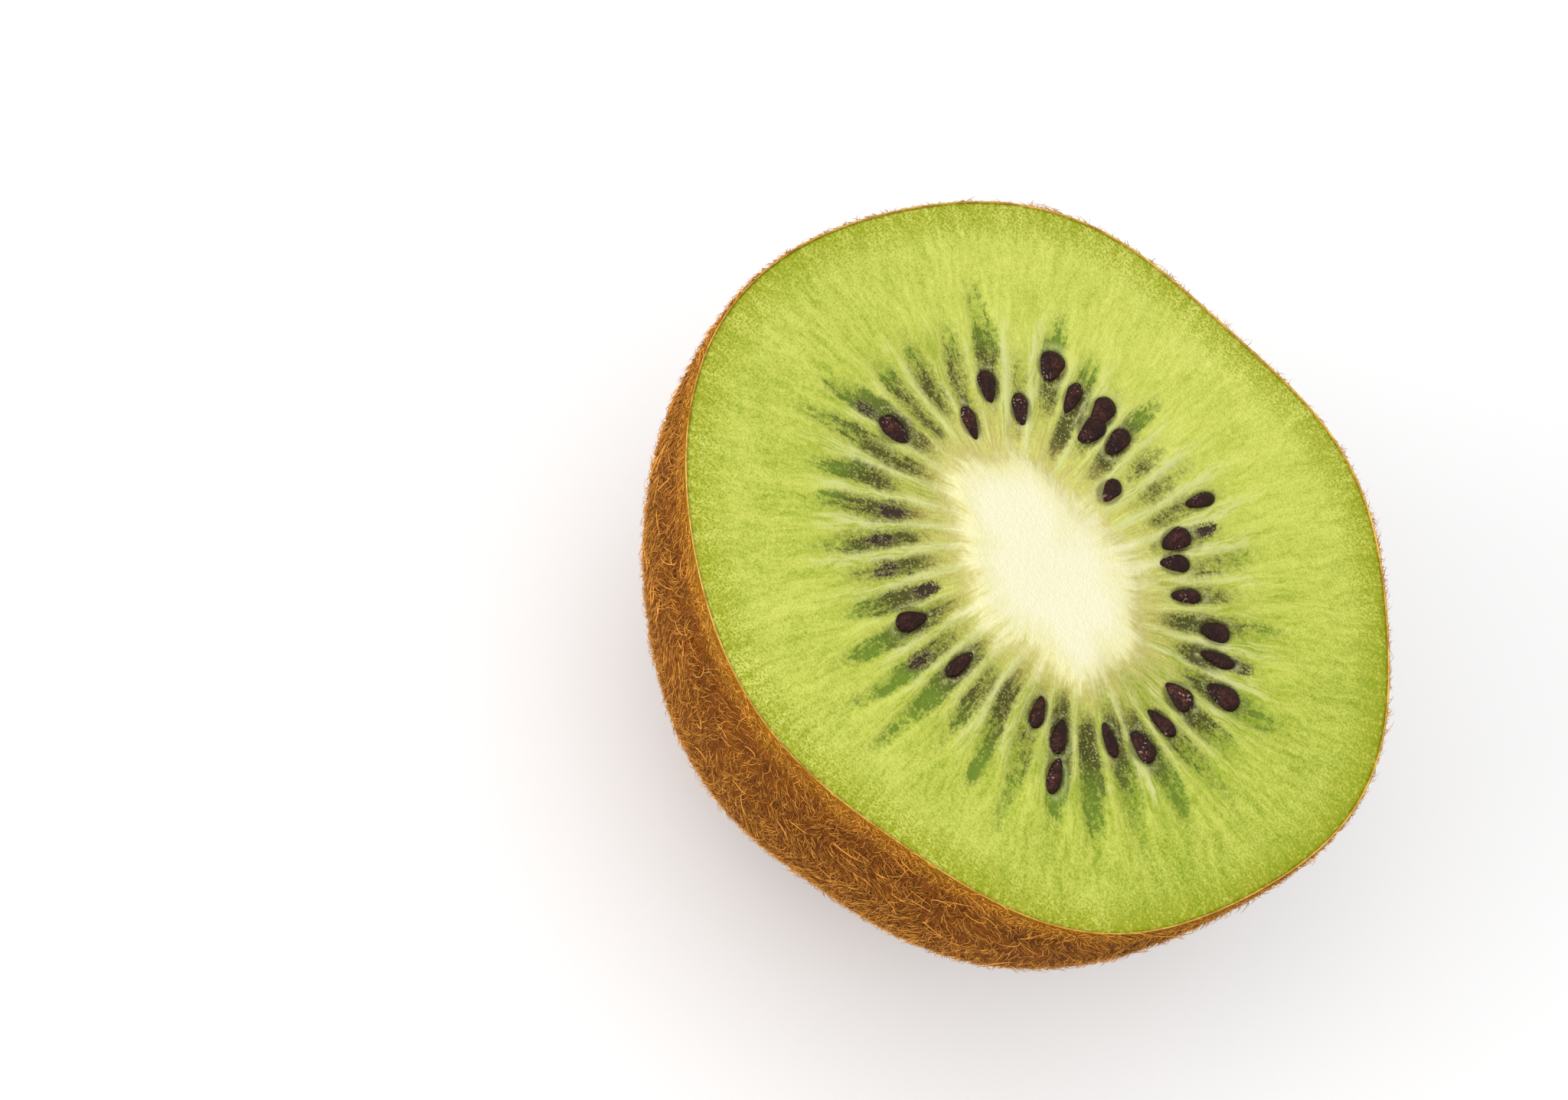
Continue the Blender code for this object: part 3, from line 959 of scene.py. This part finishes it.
def build_skin(scene):
    """Model the skin from the inner side of its cut edge down to the dimple in the fruit's end."""
    fruit = Fruit(scene)
    form = scene.kiwi_form
    angle = fruit.chamber_turn(np.arange(SKIN_SPOKES) * fruit.chambers.count / SKIN_SPOKES)
    inset = form.skin_thickness / form.face_radius
    flat = np.ones(SKIN_SPOKES)
    lines, edges = [], []
    cut_edge = (
        (1.0 - inset, -0.3, 0.6),
        (1.0 - inset, 0.03, 1.0),
        (1.0 - inset * 0.35, 0.06, 1.0),
        (1.0, -0.02, 0.7),
    )
    for share_out, lift, edge in cut_edge:
        lines.append(fruit.dome(angle, flat * share_out, FACE_HEIGHT + lift * MM))
        edges.append(edge)
    for dome_angle in np.linspace(0.0, fruit.foot_angle(), SKIN_ROWS)[1:]:
        share_out, height = fruit.dome_row(dome_angle)
        lines.append(fruit.dome(angle, flat * share_out, height))
        edges.append(0.7 * (1.0 - smooth(0.3, 3.0, (FACE_HEIGHT - height) / MM)))
    outer_end = len(lines)
    dimple_lip = (form.dimple_radius + form.scar_radius) / 2.0
    dimple = (
        (form.dimple_radius, 0.0),
        (form.dimple_radius * 0.9, form.dimple_depth * 0.2),
        (dimple_lip, form.dimple_depth * 0.85),
        (form.scar_radius, form.dimple_depth),
        (0.0, form.dimple_depth),
    )
    for radius, height in dimple:
        lines.append(fruit.dome(angle, flat * radius / form.face_radius, height))
        edges.append(0.0)
    grid = np.stack(lines)
    bumpy = slice(len(cut_edge), outer_end - 2)
    moved = grid[bumpy]
    outwards = moved.copy()
    outwards[..., 2] -= FACE_HEIGHT * 0.8
    outwards /= np.linalg.norm(outwards, axis=-1, keepdims=True)
    fade = np.minimum(np.arange(len(moved)) / 6.0, 1.0)[:, None, None]
    bumps = skin_bumps(moved)[..., None]
    grid[bumpy] = moved + outwards * (bumps - 0.05 * MM) * fade
    grid[..., 2] = np.maximum(grid[..., 2], 0.0)

    shape = spin_sheet(len(grid), SKIN_SPOKES)
    set_sheet(shape, grid)
    mesh = mesh_from(shape, "skin")
    mesh.attributes.remove(mesh.attributes["spoke"])
    attribute(mesh, "edge", np.array(edges)[layer_values(mesh, "row")])
    return add_piece("skin", mesh, skin_material(scene.kiwi_colours))


def teardrop(shape, seeds, long, wide):
    """Model one seed at the origin, its blunt end towards +X."""
    made = bmesh.ops.create_uvsphere(shape, u_segments=36, v_segments=26, radius=1.0)["verts"]
    bmesh.ops.rotate(shape, verts=made, matrix=Matrix.Rotation(math.pi / 2.0, 3, "Y"))
    crown = shape.verts.layers.float["crown"]
    for vertex in made:
        vertex[crown] = vertex.co.z
        slim = 1.0 - seeds.taper * (1.0 - vertex.co.x) / 2.0
        vertex.co.y *= slim
        vertex.co.z = vertex.co.z * slim + seeds.tip_lift * max(-vertex.co.x, 0.0) ** 2
    bmesh.ops.scale(shape, verts=made, vec=(long / 2.0, wide / 2.0, seeds.seed_thickness / 2.0))
    for vertex in made:
        lumps = noise.noise(vertex.co * 1300.0) + 0.5 * noise.noise(vertex.co * 3400.0)
        vertex.co *= 1.0 + 0.08 * lumps
    return made


def build_seeds(scene):
    """Model the seeds, the proud ones first and then those that lie almost under the flesh."""
    fruit = Fruit(scene)
    seeds = scene.kiwi_seeds
    draw = random.Random(seeds.draw)
    lean = random.Random(seeds.draw + 1)
    shape = bmesh.new()
    shape.verts.layers.float.new("crown")
    for is_sunk in (False, True):
        for chamber, place_out in seed_spots(is_sunk):
            long = seeds.seed_length * draw.uniform(0.93, 1.07)
            wide = seeds.seed_width * SEED_WIDTH_SHARES.get(chamber, 1.0)
            made = teardrop(shape, seeds, long, wide)
            spot, outwards = seed_spot(fruit, chamber, place_out)
            heading = math.atan2(outwards[1], outwards[0]) + draw.uniform(-0.2, 0.2)
            top = -0.15 * MM if is_sunk else seeds.proud
            height = FACE_HEIGHT + top - seeds.seed_thickness / 2.0
            pitch = Matrix.Rotation(lean.uniform(-0.1, 0.1), 4, "Y")
            bank = Matrix.Rotation(lean.uniform(-0.25, 0.25), 4, "X")
            stand = Matrix.Translation((spot[0], spot[1], height)) @ Matrix.Rotation(heading, 4, "Z")
            bmesh.ops.transform(shape, matrix=stand @ pitch @ bank, verts=made)
    for face in shape.faces:
        face.smooth = True
    mesh = mesh_from(shape, "seeds")
    return add_piece("seeds", mesh, seed_material(scene.kiwi_colours))


def build_scar(scene):
    """Model the dry scar in the dimple at the end of the fruit."""
    form = scene.kiwi_form
    shape = bmesh.new()
    bmesh.ops.create_cone(
        shape, cap_ends=True, segments=48, radius1=form.scar_radius * 0.8, radius2=form.scar_radius,
        depth=form.scar_height,
    )
    flats = [face for face in shape.faces if abs(face.normal.z) > 0.9]
    bmesh.ops.inset_individual(shape, faces=flats, thickness=0.4 * MM, depth=0.0)
    bmesh.ops.subdivide_edges(shape, edges=shape.edges, cuts=2, use_grid_fill=True)
    bmesh.ops.triangulate(shape, faces=shape.faces)
    height = form.dimple_depth - form.scar_height / 2.0
    bmesh.ops.translate(shape, verts=shape.verts, vec=(0.0, 0.0, height + 0.05 * MM))
    for vertex in shape.verts:
        rough = noise.noise(vertex.co * 2300.0) * 0.16 * MM
        vertex.co.z += rough if vertex.co.z < height else 0.0
        vertex.co.x *= 1.0 + noise.noise(vertex.co * 1500.0) * 0.15
        vertex.co.y *= 1.0 + noise.noise(vertex.co * 1500.0 + Vector((9.0, 0.0, 0.0))) * 0.15
    bmesh.ops.recalc_face_normals(shape, faces=shape.faces)
    mesh = mesh_from(shape, "end_scar")
    return add_piece("end_scar", mesh, scar_material(scene.kiwi_colours))


def needle(cuts):
    """Model one straight hair of unit length and width, three-sided and pointed, along +Z."""
    shape = bmesh.new()
    bmesh.ops.create_cone(shape, cap_ends=True, segments=3, radius1=0.5, radius2=0.0, depth=1.0)
    bmesh.ops.translate(shape, verts=shape.verts, vec=(0.0, 0.0, 0.5))
    bmesh.ops.remove_doubles(shape, verts=shape.verts, dist=0.001)
    upright = [edge for edge in shape.edges if abs(edge.verts[0].co.z - edge.verts[1].co.z) > 0.5]
    bmesh.ops.subdivide_edges(shape, edges=upright, cuts=cuts)
    for vertex in shape.verts:
        if 0.1 < vertex.co.z < 0.9:
            vertex.co.xy = vertex.co.xy.normalized() * (0.5 - 0.32 * vertex.co.z ** 2)
    bmesh.ops.triangulate(shape, faces=shape.faces)
    bmesh.ops.recalc_face_normals(shape, faces=shape.faces)
    shape.verts.index_update()
    points = np.array([vertex.co for vertex in shape.verts])
    faces = np.array([[vertex.index for vertex in face.verts] for face in shape.faces])
    shape.free()
    return points, faces


def dome_roots(fruit, dice, count, low_angle, high_angle):
    """Scatter points evenly over the dome, with the outward, downward and sideways directions there."""
    tries = count * 5
    turns = dice.uniform(0.0, math.tau, tries)
    angles = dice.uniform(low_angle, high_angle, tries)

    def at(turns_now, angles_now):
        share_out, height = fruit.dome_row(angles_now)
        return fruit.dome(turns_now, share_out, height)

    step = 1e-3
    here = at(turns, angles)
    sideways = at(turns + step, angles) - here
    downwards = at(turns, angles + step) - here
    normal = np.cross(downwards, sideways)
    area = np.linalg.norm(normal, axis=-1)
    keep = dice.choice(tries, size=count, replace=False, p=area / area.sum())
    normal = normal[keep] / area[keep, None]
    centre = np.array((0.0, 0.0, FACE_HEIGHT * 0.7))
    outward = np.sign(np.einsum("ij,ij->i", normal, here[keep] - centre))
    normal *= outward[:, None]
    down = downwards[keep] / np.linalg.norm(downwards[keep], axis=-1, keepdims=True)
    side = np.cross(normal, down)
    return here[keep], normal, down, side


def swirl(points):
    """Work out a heading for each point that turns slowly over the skin, as matted hair does."""
    return 2.6 * field(points, 170.0) + 1.3 * field(points, 520.0)


def build_hairs(scene, name, count, rule):
    """Join many bent hairs into one mesh, each with its own tone, on the dome."""
    fruit = Fruit(scene)
    hairs = scene.kiwi_hairs
    dice = np.random.default_rng(hairs.draw + rule["draw"])
    roots, normal, down, side = dome_roots(fruit, dice, count, *rule["zone"])
    heading = swirl(roots) + rule["heading"] + dice.normal(0.0, rule["spread"], count)
    curl = dice.normal(0.0, rule["curl"], count)
    curl = np.where(np.abs(curl) < 0.05, 0.05, curl)
    lengths = dice.uniform(rule["short"], rule["long"], count) * MM
    depth = FACE_HEIGHT - roots[:, 2]
    lengths *= 1.0 - smooth(0.2, 1.0, depth / rule.get("fade", 1.0))
    lift = dice.uniform(rule["low"], rule["high"], count)
    width = hairs.width * dice.uniform(0.7, 1.2, count) * rule["width"]

    points, faces = needle(rule.get("cuts", 1))
    reach = points[:, 2][None, :]
    bend = heading[:, None] + curl[:, None] * reach
    forward = (np.sin(bend) - np.sin(heading)[:, None]) / curl[:, None]
    aside = (np.cos(heading)[:, None] - np.cos(bend)) / curl[:, None]
    level = lengths[:, None] * np.cos(lift)[:, None]
    rise = lengths[:, None] * np.sin(lift)[:, None] * reach * (1.0 - 0.45 * reach)
    ahead = np.cos(bend)[..., None] * down[:, None] + np.sin(bend)[..., None] * side[:, None]
    across = np.cross(np.broadcast_to(normal[:, None], ahead.shape), ahead)
    places = (
        roots[:, None]
        - normal[:, None] * 0.05 * MM
        + (level * forward)[..., None] * down[:, None]
        + (level * aside)[..., None] * side[:, None]
        + rise[..., None] * normal[:, None]
        + (width[:, None] * points[:, 0])[..., None] * across
        + (width[:, None] * points[:, 1])[..., None] * normal[:, None]
    )
    ceiling = FACE_HEIGHT + dice.uniform(0.2, 1.0, count) * hairs.ceiling
    highest = places[..., 2].max(axis=1)
    shrink = np.clip((ceiling - roots[:, 2]) / np.maximum(highest - roots[:, 2], 0.01 * MM), 0.0, 1.0)
    places = roots[:, None] + (places - roots[:, None]) * shrink[:, None, None]
    places[..., 2] = np.maximum(places[..., 2], 0.02 * MM)

    corners = len(points)
    all_faces = (faces[None] + corners * np.arange(count)[:, None, None]).reshape(-1, 3)
    mesh = bpy.data.meshes.new(name)
    mesh.vertices.add(count * corners)
    mesh.vertices.foreach_set("co", places.reshape(-1).astype(np.float32))
    mesh.loops.add(all_faces.size)
    mesh.loops.foreach_set("vertex_index", all_faces.reshape(-1).astype(np.int32))
    mesh.polygons.add(len(all_faces))
    mesh.polygons.foreach_set("loop_start", np.arange(0, all_faces.size, 3, dtype=np.int32))
    mesh.polygons.foreach_set("use_smooth", np.ones(len(all_faces), bool))
    mesh.update(calc_edges=True)
    golden = 0.2 * (1.0 - smooth(0.0, 2.5 * MM, depth))
    tone = np.repeat(np.clip(dice.uniform(0.0, 1.0, count) + golden, 0.0, 1.0), corners)
    reach_all = np.tile(points[:, 2], count)
    attribute(mesh, "tone", tone)
    attribute(mesh, "reach", reach_all)
    map_by_tone(mesh, all_faces, tone, reach_all, points, count)
    tip = rule.get("tip", "hair_light")
    material = hair_material(name + " hair", scene.kiwi_colours, rule["dark"], rule["light"], tip)
    return add_piece(name, mesh, material)


def map_by_tone(mesh, all_faces, tone, reach_all, points, count):
    """Lay each hair on the UV map as a narrow upright strip at its own tone."""
    turned = np.arctan2(points[:, 1], points[:, 0]) / math.pi
    spread = np.tile(turned, count) * 0.006
    u = 0.02 + 0.96 * np.clip(tone + spread, 0.0, 1.0)
    v = 0.02 + 0.96 * reach_all + np.tile(turned, count) * 0.004
    layer = mesh.uv_layers.new(name="OFBake")
    corner = all_faces.reshape(-1)
    layer.data.foreach_set("uv", np.stack((u[corner], v[corner]), axis=-1).astype(np.float32).ravel())


class KIWI_OT_flesh(bpy.types.Operator):
    """Model the flesh with the cut face, its rays, chambers and core"""

    bl_idname = "kiwi.flesh"
    bl_label = "Cut Flesh"

    def execute(self, context):
        build_flesh(context.scene)
        return {"FINISHED"}


class KIWI_OT_skin(bpy.types.Operator):
    """Model the skin with its cut edge and the dimple at the end"""

    bl_idname = "kiwi.skin"
    bl_label = "Skin"

    def execute(self, context):
        build_skin(context.scene)
        return {"FINISHED"}


class KIWI_OT_seeds(bpy.types.Operator):
    """Model the seeds in the cut face"""

    bl_idname = "kiwi.seeds"
    bl_label = "Seeds"

    def execute(self, context):
        build_seeds(context.scene)
        return {"FINISHED"}


class KIWI_OT_scar(bpy.types.Operator):
    """Model the dry scar at the end of the fruit"""

    bl_idname = "kiwi.scar"
    bl_label = "End Scar"

    def execute(self, context):
        build_scar(context.scene)
        return {"FINISHED"}


class KIWI_OT_fuzz(bpy.types.Operator):
    """Grow the hairs of the skin in six kinds"""

    bl_idname = "kiwi.fuzz"
    bl_label = "Hairs"

    def execute(self, context):
        scene = context.scene
        hairs = scene.kiwi_hairs
        foot = Fruit(scene).foot_angle()
        # Short and long are in millimetres and angles in radians; dark and light are the two ends of
        # the kind's tones, from the dark hair colour at 0 to the light one at 1.
        kinds = (
            ("fuzz_under", hairs.under_count, dict(
                draw=1, zone=(0.0, foot), heading=0.0, spread=1.0, curl=1.0, short=0.4, long=0.7,
                low=0.10, high=0.4, width=1.0, dark=0.0, light=0.45)),
            ("fuzz_middle", hairs.middle_count, dict(
                draw=2, zone=(0.0, foot), heading=0.3, spread=0.6, curl=1.1, short=0.5, long=0.9,
                low=0.15, high=0.5, width=0.95, dark=0.05, light=0.6)),
            ("fuzz_curled", hairs.curled_count, dict(
                draw=5, zone=(0.0, foot), heading=0.2, spread=0.5, curl=1.1, short=0.6, long=1.15,
                low=0.2, high=0.55, width=0.9, dark=0.1, light=0.75)),
            ("fuzz_long", hairs.long_count, dict(
                draw=3, zone=(0.0, foot), heading=0.1, spread=0.45, curl=1.0, short=0.8, long=1.45,
                low=0.3, high=0.85, width=0.85, dark=0.35, light=1.0)),
            ("fuzz_rim", hairs.rim_count, dict(
                draw=4, zone=(0.0, 0.07), heading=1.4, spread=1.3, curl=1.3, short=0.5, long=1.1,
                low=0.25, high=0.8, width=0.8, dark=-0.1, light=1.2, tip="hair_gold", fade=3.0 * MM)),
            ("fuzz_stray", hairs.stray_count, dict(
                draw=6, zone=(0.0, 0.35), heading=1.9, spread=1.0, curl=1.6, short=1.4, long=3.2,
                low=0.15, high=0.4, width=1.1, dark=0.9, light=1.4, cuts=6)),
        )
        for name, count, rule in kinds:
            build_hairs(scene, name, count, rule)
        return {"FINISHED"}


class KIWI_OT_stage(bpy.types.Operator):
    """Set the pale floor, the soft lights and the camera"""

    bl_idname = "kiwi.stage"
    bl_label = "Stage"

    def execute(self, context):
        build_floor(context.scene)
        build_lights(context.scene)
        build_camera(context.scene)
        return {"FINISHED"}


def build_floor(scene):
    """Lay a plain pale floor."""
    stage = scene.kiwi_stage
    shape = bmesh.new()
    bmesh.ops.create_grid(shape, x_segments=2, y_segments=2, size=stage.floor_size / 2.0)
    mesh = mesh_from(shape, "floor")
    shader = Shader("studio floor")
    shader.set(
        Base_Color=stage.floor, Roughness=0.9, Specular_IOR_Level=0.1, Emission_Color=stage.floor,
        Emission_Strength=stage.floor_glow,
    )
    mesh.materials.append(shader.material)
    floor = bpy.data.objects.new("floor", mesh)
    scene.collection.objects.link(floor)


def add_soft_box(scene, name, place, size, power):
    """Hang a square soft box that faces the fruit."""
    light = bpy.data.lights.new(name, "AREA")
    light.shape = "SQUARE"
    light.size = size
    light.energy = power
    box = bpy.data.objects.new(name, light)
    box.location = place
    aim = Vector((0.0, 0.0, FACE_HEIGHT / 2.0)) - box.location
    box.rotation_euler = aim.to_track_quat("-Z", "Y").to_euler()
    scene.collection.objects.link(box)


def build_lights(scene):
    """Light the fruit evenly from a white sky and two soft boxes."""
    stage = scene.kiwi_stage
    world = bpy.data.worlds.new("white studio")
    world.use_nodes = True
    sky = world.node_tree.nodes["Background"]
    sky.inputs["Color"].default_value = (1.0, 1.0, 1.0, 1.0)
    sky.inputs["Strength"].default_value = stage.sky
    scene.world = world
    add_soft_box(scene, "key", (-0.35, -0.15, 0.75), 1.0, stage.key)
    add_soft_box(scene, "fill", (-0.45, -0.6, 0.22), 0.5, stage.fill)
    scene.view_settings.view_transform = "Standard"


def build_camera(scene):
    """Aim the camera at the cut face from the picture's angle, with its roll."""
    stage = scene.kiwi_stage
    fruit = Fruit(scene)
    elevation, roll = stage.view_elevation, stage.view_roll
    back = Vector((0.0, -math.cos(elevation), math.sin(elevation)))
    level_right = Vector((1.0, 0.0, 0.0))
    level_up = Vector((0.0, math.sin(elevation), math.cos(elevation)))
    right = math.cos(roll) * level_right + math.sin(roll) * level_up
    up = -math.sin(roll) * level_right + math.cos(roll) * level_up
    face = Vector((-fruit.middle[0], -fruit.middle[1], FACE_HEIGHT))
    place = face + stage.view_distance * back - stage.view_right * right - stage.view_up * up
    camera = bpy.data.cameras.new("camera")
    camera.lens = stage.lens
    camera.sensor_width = 36.0
    camera.clip_start = 0.01
    holder = bpy.data.objects.new("camera", camera)
    axes = Matrix((right, up, back)).transposed().to_4x4()
    holder.matrix_world = Matrix.Translation(place) @ axes
    scene.collection.objects.link(holder)
    scene.camera = holder


class KIWI_PT_half(bpy.types.Panel):
    """Sizes, colours and steps of the kiwi fruit half"""

    bl_label = "Kiwi Fruit Half"
    bl_idname = "KIWI_PT_half"
    bl_space_type = "VIEW_3D"
    bl_region_type = "UI"
    bl_category = "Kiwi"

    def draw(self, context):
        for step in STEPS:
            self.layout.operator(step.bl_idname)
        for name, group in GROUPS:
            box = self.layout.box()
            box.label(text=group.__doc__)
            for key in group.__annotations__:
                box.prop(getattr(context.scene, name), key)


STEPS = (KIWI_OT_flesh, KIWI_OT_skin, KIWI_OT_seeds, KIWI_OT_scar, KIWI_OT_fuzz, KIWI_OT_stage)
CLASSES = tuple(group for _, group in GROUPS) + STEPS + (KIWI_PT_half,)


def register():
    for item in CLASSES:
        bpy.utils.register_class(item)
    for name, group in GROUPS:
        setattr(bpy.types.Scene, name, PointerProperty(type=group))


def unregister():
    for name, _ in GROUPS:
        delattr(bpy.types.Scene, name)
    for item in reversed(CLASSES):
        bpy.utils.unregister_class(item)


def main():
    """Register the classes and make every piece and the stage."""
    register()
    bpy.ops.kiwi.flesh()
    bpy.ops.kiwi.skin()
    bpy.ops.kiwi.seeds()
    bpy.ops.kiwi.scar()
    bpy.ops.kiwi.fuzz()
    bpy.ops.kiwi.stage()


if __name__ == "__main__":
    main()
